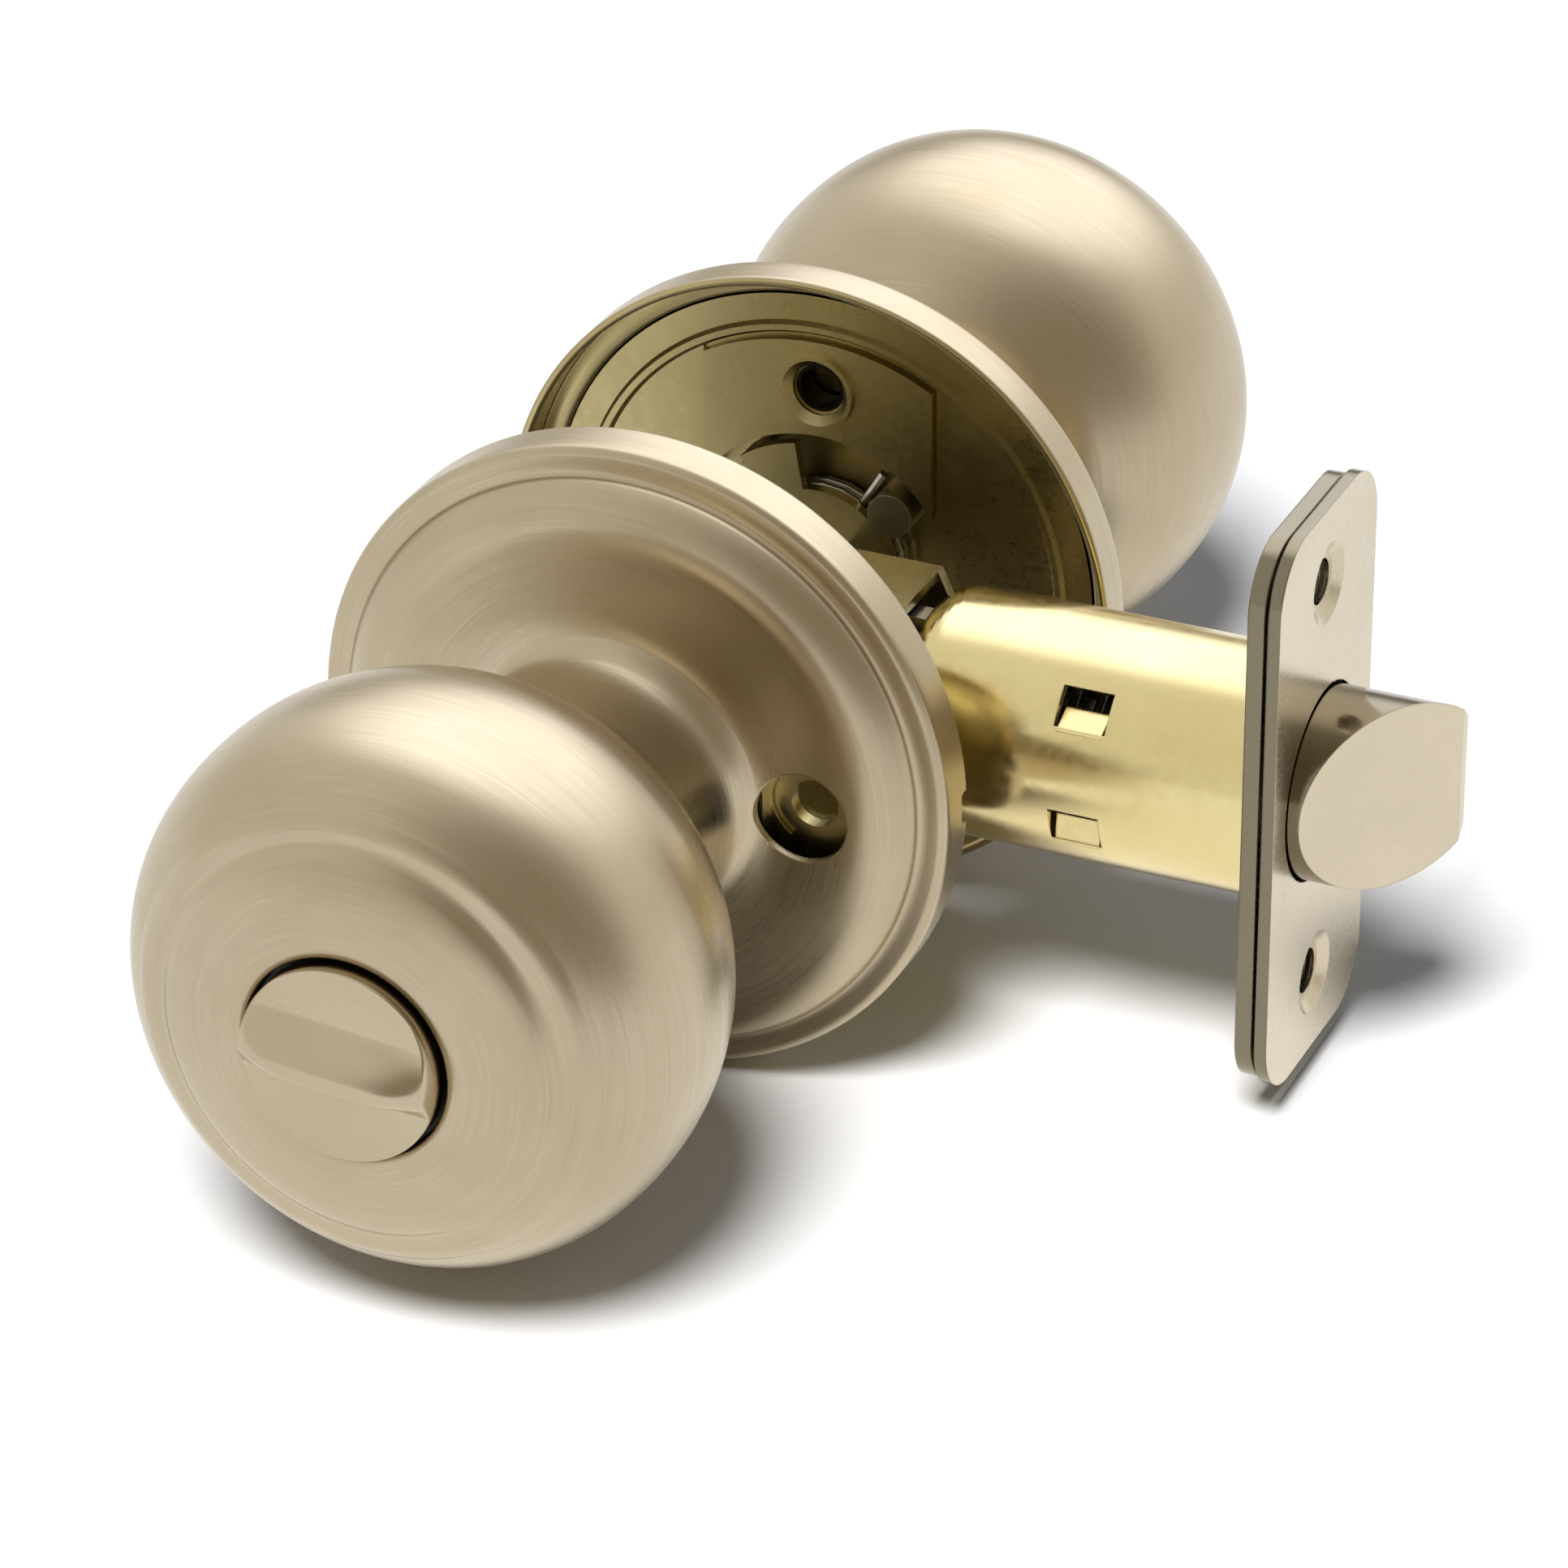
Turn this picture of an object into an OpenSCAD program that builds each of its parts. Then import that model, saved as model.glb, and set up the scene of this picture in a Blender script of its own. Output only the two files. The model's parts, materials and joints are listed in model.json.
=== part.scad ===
// Tubular privacy door knob set: two ball knobs, two spun roses, a spring latch
// and the turn-button lock between them.
// Frame: Y is the spindle axis (inside knob at -Y, outside knob at +Y), X runs along
// the latch towards the door's edge, Z is up. The origin is where the spindle crosses
// the latch, in the middle of the door's thickness. All sizes are in millimetres.

/* [Door] */
// Thickness of the door between the two roses
door_t = 35; // [35:1:44]
// Distance from the spindle to the outer face of the faceplate
backset = 60.3; // [60.3:0.1:70]
// Distance between the two mounting screws
screw_pitch = 38.1; // [37:0.1:39]

/* [Rose] */
// Radius of the rose
rose_r = 32; // [31.5:0.5:33]
// Thickness of the spun sheet of roses and knobs
sheet_t = 0.8; // [0.7:0.1:0.9]
// Height of the rose's straight side wall
rose_wall_h = 4.8; // [4.5:0.1:5.2]
// Distance from the door to the end of the rose's neck
neck_end = 24.5; // [24:0.1:25]
// Radius of the neck at its waist
neck_r = 12.2; // [12.1:0.1:12.6]
// Radius of the screw access hole in the inside rose
access_r = 4.5; // [4.2:0.1:4.8]

/* [Knob] */
// Largest radius of the knob
knob_r = 27.2; // [26.5:0.1:28]
// Distance from the door to the back of the knob
knob_back = 25.4; // [25.4:0.1:26]
// Distance from the door to the knob's widest place
knob_mid = 45.7; // [45:0.1:47]
// Distance from the door to the knob's front face
knob_front = 63; // [62.6:0.1:63.4]
// Radius of the turn button's hole in the inside knob
button_hole_r = 9.8; // [9.6:0.1:10]
// Radius of the emergency release hole in the outside knob
release_r = 1.6; // [1.2:0.1:2]

/* [Lock] */
// Radius of the turn button's head
head_r = 9.4; // [9:0.1:9.5]
// Radius of the turn button's plug below its head
button_r = 8.4; // [8:0.1:8.5]
// Distance from the door to the top of the button's grip
button_top = 67.6; // [67:0.1:69]
// Half thickness of the grip at its top
grip_half = 1.7; // [1.4:0.1:2.2]

/* [Chassis] */
// Radius of the shank where it turns in the neck
shank_r = 9.85; // [9.7:0.05:9.85]
// Side of the square spindle
spindle_side = 7; // [6.8:0.1:7]
// Width of the mounting plate
plate_w = 24.2; // [23:0.1:25]
// Radius of the mounting plate's ends
plate_r = 24.3; // [24:0.1:25]
// Radius of the mounting plate's central opening
opening_r = 14.3; // [14:0.1:14.5]
// Distance from the door to the mounting plate
plate_z = 3.2; // [3:0.1:3.4]
// Radius at which the stop peg stands
peg_orbit = 11.1; // [11:0.1:11.2]

/* [Latch] */
// Height of the faceplate
faceplate_h = 57.15; // [57:0.05:58]
// Width of the faceplate
faceplate_w = 25.4; // [25.4:0.1:28]
// Radius of the faceplate's corners
faceplate_corner = 6.35; // [5:0.05:7]
// Distance between the faceplate's screws
face_pitch = 41.28; // [41:0.01:42]
// Outer radius of the latch case
case_r = 11.8; // [11.7:0.1:11.9]
// Radius of the latch bolt
bolt_r = 9.3; // [9.2:0.1:9.4]
// Distance that the bolt stands out and travels
throw = 11.5; // [11:0.1:11.5]

/* [Hidden] */
$fn = 64;
eps = 0.05;

// Clearances
gap = 0.3;
fit = 0.05;

// Knob and rose outlines
notch_w = 3.4;
notch_h = 1.1;
knob_wall = sheet_t + 0.1;
bead_r = 21.6;
bead_z = 59.3;
dome_r = 18.4;
dome_z = 60.9;

// Shank and cassette
tail_r = 6.2;
tail_bore_r = 5.05;
tail_end = 4.7;
floor_z = 7.1;
floor_t = 0.4;
bush_z0 = 14;
bush_z1 = 24;
bush_r = neck_r - sheet_t - 0.1;
shank_bore_r = 7.9;
shank_end = 53;
front_wall = 1.5;
clip_z = shank_end - front_wall - 0.7;
plate_t = 1;
disc_z = plate_z + plate_t;
disc_t = 0.8;
disc_r = 28.1;
disc_flare = 0.6;
bead_in_r = 24.6;
bead_out_r = 26;
bead_slope = 0.4;
bead_h = 0.45;
groove_w = 0.35;
groove_h = 0.4;
collar_r = 3.9;
cup_flange_r = 17.2;
driver_z = 3.1;
driver_t = 1.2;
driver_r = 8.4;
tab_h = 3.4;
arm_r = 13.3;
arm_from = 100;
arm_to = 128;
peg_angle = 43;
peg_r = 2.3;
coil_r = 8.1;
coil_wire_r = 0.5;
coil_z = 4.9;
coil_pitch = 1.1;
ring_z = 6.35;

// Lock
head_z = 61.6;
plug_z = 56;
stem_z = 48;
stem_r = 3.3;
scoop_r = 8.1;
grip_arch_r = 14;
grip_turn = 7;
blade_w = 4.4;
blade_t = 1.2;
spindle_bore_r = 2.45;
spindle_in = 14;
spindle_out = 12.5;
pin_hole_z = 10.6;
cam_z = 15.6;
cam_t = 3;
cam_r = 3;
cam_offset = 1.4;
dog_r = 1.3;
dog_z = cam_z + cam_t / 2;
dog_foot = 3.35;
dog_top = 9.4;

// Latch
face_t = 1.2;
face_gap = 0.5;
back_t = 1.6;
back_front = backset - face_t - face_gap;
case_end = back_front - back_t;
case_start = 21.5;
case_wall = 0.9;
case_nose = 3;
case_mouth_r = 10.2;
window_x = 37.6;
window_l = 5;
window_half = 2;
tongue_t = 0.6;
tongue_l = 2.6;
tongue_dip = 25;
bolt_flat = 7.4;
bolt_tip = backset + throw;
bolt_back = 44;
seat_x = 26;
seat_t = 1.5;
side_in = 5;
side_t = 1.2;
side_half_h = 6.8;
side_start = -11.5;
flange_x0 = 8;
flange_x1 = 19.5;
flange_z = 11;
flange_t = 1;
hub_r = 7.6;
hub_journal_r = 6;
hub_arm_r = 12;
hub_arm_angle = 60;
rail_y = 1.2;
rail_z0 = 8;
rail_z1 = 9.2;
yoke_x = 22;
yoke_t = 2.6;
pin_x = 2.6;
pin_z = 10.2;
pin_r = 1.2;
pin_half = 4.2;
post_top = 11.9;

// Points of a cubic curve from a to d that leaves towards b and arrives from c
function bezier(a, b, c, d, n) =
  [for (i = [0:n]) let (t = i / n, s = 1 - t)
    s * s * s * a + 3 * s * s * t * b + 3 * s * t * t * c + t * t * t * d];
// Points of an arc of radius r about c, from angle a0 to a1
function arc(c, r, a0, a1, n) =
  [for (i = [0:n]) let (a = a0 + (a1 - a0) * i / n) c + r * [cos(a), sin(a)]];
function unit(v) = v / norm(v);
// The unit normal on the left of a path at point i
function left_normal(p, i) =
  let (n = len(p), d = unit(p[min(i + 1, n - 1)] - p[max(i - 1, 0)])) [-d[1], d[0]];
// A path moved sideways by t, to its left
function beside(p, t) = [for (i = [0:len(p) - 1]) p[i] + t * left_normal(p, i)];
function reverse(p) = [for (i = [len(p) - 1:-1:0]) p[i]];

// The outside of a rose, from its lip on the door to the end of its neck. The face is
// one even cone where the access holes are cut.
function rose_path() = concat(
  [[rose_r, 0]],
  arc([rose_r - 0.9, rose_wall_h - 0.9], 0.9, 0, 90, 4),
  [[rose_r - 2.7, rose_wall_h + 0.15]],
  bezier([rose_r - 3, rose_wall_h + 0.7], [rose_r - 4, rose_wall_h + 2.8],
    [rose_r - 6, rose_wall_h + 3.3], [rose_r - 7.6, rose_wall_h + 3.4], 6),
  bezier([neck_r + 2, rose_wall_h + 3.7], [neck_r + 0.4, rose_wall_h + 3.9],
    [neck_r, rose_wall_h + 6], [neck_r, neck_end - 7.5], 8),
  bezier([neck_r, neck_end - 5], [neck_r + 0.1, neck_end - 3],
    [neck_r + 1.1, neck_end - 2.2], [neck_r + 1.1, neck_end - 0.9], 4),
  arc([neck_r + 0.5, neck_end - 0.6], 0.6, 0, 90, 3));

// The outside of a knob, from its back to the edge of its front bead
function ball_path() = concat(
  [[shank_r + 0.25, knob_back]],
  bezier([12.6, knob_back], [20.5, knob_back + 1.6],
    [knob_r, knob_mid - 10.2], [knob_r, knob_mid], 12),
  bezier([knob_r, knob_mid + 1.5], [knob_r, knob_mid + 6.4],
    [25.3, knob_mid + 10.6], [bead_r + 0.7, bead_z - 0.7], 10));
// The front of a knob, from its bead to the hole of radius hole_r
function face_path(hole_r) = concat(
  arc([bead_r - 0.4, bead_z - 0.4], 0.8, 20, 100, 4),
  [[dome_r + 1.2, bead_z + 0.7], [dome_r + 0.4, dome_z - 0.5], [dome_r, dome_z]],
  bezier([dome_r - 1, dome_z + 0.5], [16, dome_z + 1.3],
    [14, knob_front - 0.1], [max(12, hole_r + 1.2), knob_front], 6),
  [[hole_r + 0.5, knob_front - 0.1], [hole_r + 0.1, knob_front - 0.5]]);

// Places children on a side of the door: z runs away from the door, x and y are the
// frame's X and Z. The inside is -1 and the outside is 1.
module side(s) {
  mirror([0, s > 0 ? 1 : 0, 0])
    translate([0, -door_t / 2, 0])
      rotate([90, 0, 0]) children();
}
// Places children with z along the frame's X, starting at x; y is the frame's Y
module along_x(x) {
  translate([x, 0, 0]) rotate([0, 90, 0]) children();
}
module tube(r1, r0, h) {
  difference() {
    cylinder(r = r1, h = h);
    translate([0, 0, -eps]) cylinder(r = r0, h = h + 2 * eps);
  }
}
module square_bar(side, h) {
  translate([-side / 2, -side / 2, 0]) cube([side, side, h]);
}
// A sheet of even thickness turned about z along a path
module spun(path, t) {
  rotate_extrude() polygon(concat(path, reverse(beside(path, t))));
}
// A slice of a circle of radius r between two angles
module slice(r, a0, a1) {
  polygon(concat([[0, 0]], arc([0, 0], r, a0, a1, 12)));
}
// A wire of radius w swept along a list of points
module wire(points, w, sides = 8) {
  n = len(points);
  rings = [for (i = [0:n - 1])
    let (d = unit(points[min(i + 1, n - 1)] - points[max(i - 1, 0)]),
         u = unit(cross(d, abs(d[2]) < 0.9 ? [0, 0, 1] : [1, 0, 0])),
         v = cross(d, u))
      for (k = [0:sides - 1])
        points[i] + w * (cos(360 * k / sides) * u + sin(360 * k / sides) * v)];
  walls = [for (i = [0:n - 2]) for (k = [0:sides - 1])
    let (a = i * sides + k, b = i * sides + (k + 1) % sides)
      [a, b, b + sides, a + sides]];
  ends = [[for (k = [sides - 1:-1:0]) k], [for (k = [0:sides - 1]) (n - 1) * sides + k]];
  polyhedron(rings, concat(walls, ends), convexity = 8);
}
// Points of a coil about z
function coil(r, z0, pitch, a0, a1, step) =
  [for (a = [a0:step:a1]) [r * cos(a), r * sin(a), z0 + pitch * (a - a0) / 360]];

// Knobs -----------------------------------------------------------------------

module knob_shell(hole_r) {
  spun(concat(ball_path(), face_path(hole_r)), knob_wall);
}
module inside_knob() {
  color("tan") side(-1) knob_shell(button_hole_r);
}
module outside_knob() {
  color("tan") side(1) knob_shell(release_r);
}
// The shank carries the knob, turns in the neck and ends in the cassette
module shank(front_bore_r) {
  difference() {
    union() {
      translate([0, 0, floor_z + floor_t + gap + 1])
        cylinder(r = shank_r, h = shank_end - floor_z - floor_t - gap - 1);
      translate([0, 0, tail_end]) cylinder(r = tail_r, h = 6);
      translate([0, 0, knob_mid - 1]) cylinder(r = knob_r - knob_wall - gap, h = 1.6);
    }
    translate([0, 0, bush_z0 - 1])
      cylinder(r = shank_bore_r, h = shank_end - front_wall - bush_z0 + 1);
    cylinder(r = tail_bore_r, h = bush_z0);
    translate([0, 0, ring_z - 0.05]) tube(tail_r + 1, tail_r - 0.5, 0.8);
    translate([0, 0, shank_end - 4]) cylinder(r = front_bore_r, h = 10);
  }
}
module inside_shank() {
  color("darkkhaki") side(-1) shank(3.4);
}
module outside_shank() {
  color("darkkhaki") side(1) difference() {
    shank(release_r);
    // way out for the locking dog
    translate([0, 0, dog_z]) rotate([-90, 0, 0]) cylinder(r = dog_r + fit, h = 12);
    // cross hole for the spindle pin
    translate([-10, 0, pin_hole_z]) rotate([0, 90, 0]) cylinder(r = 1, h = 20);
  }
}

// Turn button and lock ----------------------------------------------------------

// A headed plug with a grip between two scoops, rounded down towards the grip's ends
module turn_button() {
  scoop_z = button_top + 4.4;
  scoop_y = grip_half + sqrt(pow(scoop_r, 2) - pow(scoop_z - button_top, 2));
  color("tan") side(-1) difference() {
    union() {
      translate([0, 0, head_z]) cylinder(r = head_r, h = button_top - head_z);
      translate([0, 0, plug_z]) cylinder(r = button_r, h = button_top - plug_z);
      translate([0, 0, stem_z]) cylinder(r = stem_r, h = plug_z + eps - stem_z);
    }
    rotate([0, 0, grip_turn]) {
      for (m = [-1, 1])
        translate([-10, m * scoop_y, scoop_z]) rotate([0, 90, 0])
          cylinder(r = scoop_r, h = 20);
      translate([0, 10, button_top - grip_arch_r]) rotate([90, 0, 0])
        tube(grip_arch_r + 6, grip_arch_r, 20);
    }
    translate([-blade_w / 2 - fit, -blade_t / 2 - fit, stem_z - 1])
      cube([blade_w + 2 * fit, blade_t + 2 * fit, 8]);
    translate([0, 0, clip_z]) tube(5, 2.9, 0.6);
  }
}
module button_bush() {
  color("dimgray") side(-1) difference() {
    translate([0, 0, shank_end]) cylinder(r = button_hole_r - 0.03, h = 8.2);
    translate([0, 0, shank_end + 1.5]) cylinder(r = button_r + 0.08, h = 10);
    translate([0, 0, shank_end - 1]) cylinder(r = 3.4, h = 10);
  }
}
module torque_blade() {
  z0 = -door_t / 2 - shank_end - 1.8;
  z1 = door_t / 2 + cam_z + cam_t + 1;
  color("silver") translate([-blade_w / 2, z0, -blade_t / 2])
    cube([blade_w, z1 - z0, blade_t]);
}
module button_clip() {
  color("silver") side(-1) translate([0, 0, clip_z + 0.05]) difference() {
    tube(5.2, 2.95, 0.5);
    rotate([0, 0, 60]) translate([0, 0, -eps]) linear_extrude(2) slice(8, -20, 20);
  }
}
module lock_cam() {
  color("goldenrod") side(1) translate([0, 0, cam_z]) difference() {
    translate([cam_offset, 0, 0]) cylinder(r = cam_r, h = cam_t);
    translate([-blade_w / 2 - fit, -blade_t / 2 - fit, -eps])
      cube([blade_w + 2 * fit, blade_t + 2 * fit, cam_t + 2 * eps]);
  }
}
module lock_dog() {
  color("silver") side(1)
    translate([0, dog_foot, dog_z]) rotate([-90, 0, 0])
      cylinder(r = dog_r, h = dog_top - dog_foot);
}
module spindle() {
  length = door_t + spindle_in + spindle_out;
  color("silver") translate([0, door_t / 2 + spindle_out, 0]) rotate([90, 0, 0])
    difference() {
      square_bar(spindle_side, length);
      translate([0, 0, -eps]) cylinder(r = spindle_bore_r, h = length + 2 * eps);
      for (m = [0, 1]) mirror([m, 0, 0])
        translate([0, 0, spindle_out - pin_hole_z]) rotate([0, 90, 0]) cylinder(r = 1, h = 10);
    }
}
// Two stubs that key the spindle to the outside shank, clear of the blade's bore
module spindle_pin() {
  color("silver") side(1) for (m = [0, 1]) mirror([m, 0, 0])
    translate([spindle_bore_r + 0.1, 0, pin_hole_z]) rotate([0, 90, 0])
      cylinder(r = 0.98, h = shank_r - spindle_bore_r - 0.2);
}

// Roses -------------------------------------------------------------------------

module rose_shell() {
  spun(rose_path(), sheet_t);
}
module inside_rose() {
  color("tan") side(-1) difference() {
    rose_shell();
    // screw access holes and the pry notch on the lip
    for (m = [-1, 1]) translate([m * screw_pitch / 2, 0, 5]) cylinder(r = access_r, h = 8);
    translate([rose_r - 2, -notch_w / 2, -eps]) cube([4, notch_w, notch_h + eps]);
  }
}
module outside_rose() {
  color("tan") side(1) rose_shell();
}
module neck_bush() {
  translate([0, 0, bush_z0]) tube(bush_r, shank_r + fit, bush_z1 - bush_z0);
}
module inside_neck_bush() {
  color("ivory") side(-1) neck_bush();
}
module outside_neck_bush() {
  color("ivory") side(1) difference() {
    neck_bush();
    // the arc that the locking dog enters
    translate([0, 0, dog_z - dog_r - 0.2]) linear_extrude(2 * dog_r + 0.4)
      slice(14, 78, 160);
  }
}

// Cassettes -----------------------------------------------------------------------

// The raised strip of the mounting plate, grown by g
module strip_outline(g) {
  intersection() {
    circle(r = plate_r + g);
    square([plate_w + 2 * g, 2 * plate_r + 4], center = true);
  }
}
// The mounting plate: a beaded disc, a raised strip with a groove round it and two
// screw collars whose mouths narrow to a throat
module mounting_plate(collar_z, collar_h, bore_r, throat_r, mouth_r) {
  difference() {
    union() {
      difference() {
        union() {
          translate([0, 0, disc_z]) cylinder(r1 = disc_r + disc_flare, r2 = disc_r, h = disc_t);
          rotate_extrude() polygon([[bead_in_r, disc_z + eps], [bead_out_r, disc_z + eps],
            [bead_out_r - bead_slope, disc_z - bead_h], [bead_in_r + bead_slope, disc_z - bead_h]]);
        }
        translate([0, 0, disc_z - 1]) linear_extrude(groove_h + 1) strip_outline(groove_w);
      }
      translate([0, 0, plate_z]) linear_extrude(plate_t + groove_h) strip_outline(0);
      for (m = [-1, 1]) translate([0, m * screw_pitch / 2, collar_z])
        cylinder(r = collar_r, h = collar_h);
    }
    translate([0, 0, -eps]) cylinder(r = opening_r, h = 10);
    for (m = [-1, 1]) translate([0, m * screw_pitch / 2, collar_z]) {
      translate([0, 0, -1]) cylinder(r = bore_r, h = 10);
      translate([0, 0, -eps]) cylinder(r = throat_r, h = 1.5 + eps);
      translate([0, 0, -eps]) cylinder(r1 = mouth_r, r2 = throat_r, h = 1);
    }
  }
}
module inside_mounting_plate() {
  color("goldenrod") side(-1) rotate([0, 0, -90])
    mounting_plate(plate_z - 0.4, 2.4, 2.4, 2.4, 2.6);
}
module outside_mounting_plate() {
  color("goldenrod") side(1) mounting_plate(plate_z - 0.5, 4.4, 2.1, 2.7, 3.5);
}
// The cup behind the mounting plate that holds the return spring
module spring_housing() {
  cup_z = disc_z + disc_t + 0.02;
  difference() {
    union() {
      translate([0, 0, cup_z]) cylinder(r = cup_flange_r, h = 0.7);
      translate([0, 0, cup_z]) cylinder(r = opening_r + 0.5, h = floor_z + floor_t - cup_z);
    }
    cylinder(r = opening_r, h = floor_z);
    cylinder(r = tail_r + 0.2, h = 10);
    for (m = [-1, 1]) translate([0, m * screw_pitch / 2, 0])
      cylinder(r = collar_r + 0.2, h = floor_z);
  }
}
module inside_spring_housing() {
  color("darkgoldenrod") side(-1) rotate([0, 0, -90]) spring_housing();
}
module outside_spring_housing() {
  color("darkgoldenrod") side(1) spring_housing();
}
module stop_peg() {
  translate([peg_orbit * cos(peg_angle), peg_orbit * sin(peg_angle), 2.2])
    cylinder(r = peg_r, h = floor_z - 2.2 - 0.02);
}
module inside_stop_peg() {
  color("olive") side(-1) rotate([0, 0, -90]) stop_peg();
}
module outside_stop_peg() {
  color("olive") side(1) stop_peg();
}
// The driver is keyed to the spindle; its arm winds the spring and meets the peg
module driver() {
  difference() {
    union() {
      translate([0, 0, driver_z]) cylinder(r = driver_r, h = driver_t);
      translate([0, 0, driver_z]) linear_extrude(driver_t) slice(arm_r, arm_from, arm_to);
      // bent tab that pushes the spring's leg
      translate([0, 0, driver_z]) linear_extrude(tab_h)
        difference() {
          slice(arm_r, arm_to - 8, arm_to);
          circle(r = arm_r - 1.2);
        }
    }
    translate([0, 0, driver_z - eps]) square_bar(spindle_side + 2 * fit, driver_t + 1);
    // lightening slot along the rim
    translate([0, 0, driver_z - eps]) linear_extrude(3)
      difference() {
        slice(7.6, -70, 20);
        circle(r = 6.2);
      }
  }
}
module inside_driver() {
  color("goldenrod") side(-1) driver();
}
module outside_driver() {
  color("goldenrod") side(1) driver();
}
// A torsion spring: one leg lies against the peg and one behind the driver's tab
module return_spring(peg_a) {
  start = peg_a + 17;
  last = 360 + arm_to + 8;
  top_z = coil_z + coil_pitch * (last - start) / 360;
  leg_in = coil_r + 2.2;
  leg_out = coil_r + 4.4;
  first_leg = [for (r = [leg_out, leg_in])
    [r * cos(start - 1), r * sin(start - 1), coil_z]];
  second_leg = [for (r = [leg_in, leg_out])
    [r * cos(last + 1), r * sin(last + 1), top_z]];
  wire(concat(first_leg, coil(coil_r, coil_z, coil_pitch, start, last, 15), second_leg),
    coil_wire_r);
}
module inside_return_spring() {
  color("gray") side(-1) return_spring(peg_angle - 90);
}
module outside_return_spring() {
  color("gray") side(1) return_spring(peg_angle);
}
module snap_ring() {
  translate([0, 0, ring_z]) difference() {
    tube(7.1, tail_r - 0.45, 0.7);
    translate([0, 0, -eps]) linear_extrude(2) slice(9, -35, -5);
  }
}
module inside_snap_ring() {
  color("dimgray") side(-1) snap_ring();
}
module outside_snap_ring() {
  color("dimgray") side(1) snap_ring();
}

// Latch ---------------------------------------------------------------------------

module rounded_plate(h, w, r, t) {
  linear_extrude(t) union() {
    square([h - 2 * r, w], center = true);
    square([h, w - 2 * r], center = true);
    for (a = [-1, 1], b = [-1, 1]) translate([a * (h / 2 - r), b * (w / 2 - r)]) circle(r = r);
  }
}
// The bolt's section grown by g; its flat faces +Y
module bolt_section(g) {
  intersection() {
    circle(r = bolt_r + g);
    translate([-20, -20]) square([40, 20 + bolt_flat + g]);
  }
}
module faceplate() {
  color("wheat") along_x(backset - face_t) difference() {
    rounded_plate(faceplate_h, faceplate_w, faceplate_corner, face_t);
    translate([0, 0, -eps]) linear_extrude(face_t + 2 * eps) bolt_section(0.3);
    for (m = [-1, 1]) translate([m * face_pitch / 2, 0, 0]) {
      translate([0, 0, -eps]) cylinder(r = 2.2, h = face_t + 2 * eps);
      translate([0, 0, face_t - 0.8]) cylinder(r1 = 2.9, r2 = 4.1, h = 0.8 + eps);
    }
  }
}
module backing_plate() {
  color("wheat") along_x(back_front - back_t) difference() {
    rounded_plate(faceplate_h - 1, faceplate_w - 0.8, faceplate_corner - 0.4, back_t);
    translate([0, 0, -eps]) linear_extrude(back_t + 2 * eps) bolt_section(0.4);
    for (m = [-1, 1]) translate([m * face_pitch / 2, 0, -eps])
      cylinder(r = 2.2, h = back_t + 2 * eps);
  }
}
// A window in the case and the tongue pressed in from its lower edge
module window() {
  translate([window_x, -window_half, case_r - 3]) cube([window_l, 2 * window_half, 6]);
}
module tongue() {
  hinge_z = sqrt(pow(case_r, 2) - pow(window_half, 2)) - 0.1;
  translate([window_x + 0.3, -window_half - 0.1, hinge_z]) rotate([-tongue_dip, 0, 0])
    translate([0, -0.3, -tongue_t]) cube([window_l - 0.6, tongue_l + 0.3, tongue_t]);
}
module at_windows() {
  for (m = [0, 1], a = [50, 110]) mirror([0, m, 0]) rotate([a, 0, 0]) children();
}
module latch_case() {
  nose_r = case_r - case_nose;
  outer = concat([[case_mouth_r, case_start]],
    arc([nose_r, case_start + case_nose], case_nose, -45, 0, 5), [[case_r, case_end]]);
  color("gold") {
    difference() {
      along_x(0) spun(outer, case_wall);
      at_windows() window();
    }
    at_windows() tongue();
  }
}
module latch_bolt() {
  color("wheat") intersection() {
    along_x(bolt_back) linear_extrude(40) bolt_section(0);
    translate([0, 0, -15]) linear_extrude(30) polygon([
      [bolt_back, -12], [backset + 1.2, -12], [backset + 1.2, -bolt_r],
      [bolt_tip - 0.5, bolt_flat - 2], [bolt_tip, bolt_flat - 1.2],
      [bolt_tip, bolt_flat + 2], [bolt_back, bolt_flat + 2]]);
  }
}
module bolt_guide() {
  color("dimgray") along_x(case_end - 9) difference() {
    cylinder(r = case_r - case_wall - 0.03, h = 8.95);
    translate([0, 0, -eps]) linear_extrude(10) bolt_section(0.08);
  }
}
module bolt_tail() {
  color("silver") translate([yoke_x + yoke_t, -rail_y, -3])
    cube([bolt_back - yoke_x - yoke_t, 2 * rail_y, 6]);
}
// The retractor's yoke straddles the hub and is pulled by its two pins
module retractor() {
  rail_x = pin_x - 2;
  color("silver") {
    translate([yoke_x, -rail_y, -rail_z1]) cube([yoke_t, 2 * rail_y, 2 * rail_z1]);
    for (m = [0, 1]) mirror([0, 0, m]) difference() {
      union() {
        translate([rail_x, -rail_y, rail_z0])
          cube([yoke_x + eps - rail_x, 2 * rail_y, rail_z1 - rail_z0]);
        translate([rail_x, -rail_y, rail_z0]) cube([4, 2 * rail_y, post_top - rail_z0]);
      }
      translate([pin_x, -5, pin_z]) rotate([-90, 0, 0]) cylinder(r = pin_r, h = 10);
    }
  }
}
module retractor_pins() {
  color("silver") for (m = [-1, 1])
    translate([pin_x, -pin_half, m * pin_z]) rotate([-90, 0, 0])
      cylinder(r = pin_r - 0.02, h = 2 * pin_half);
}
module bolt_spring() {
  turns = 6;
  length = bolt_back - seat_x - seat_t - 1.2;
  color("gray") along_x(seat_x + seat_t + 0.6)
    wire(coil(5.4, 0, length / turns, 0, 360 * turns, 18), 0.45);
}
module spring_seat() {
  color("goldenrod") along_x(seat_x) difference() {
    cylinder(r = case_r - case_wall - 0.03, h = seat_t);
    translate([-3.3, -rail_y - 0.2, -eps]) cube([6.6, 2 * rail_y + 0.4, seat_t + 2 * eps]);
  }
}
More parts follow.
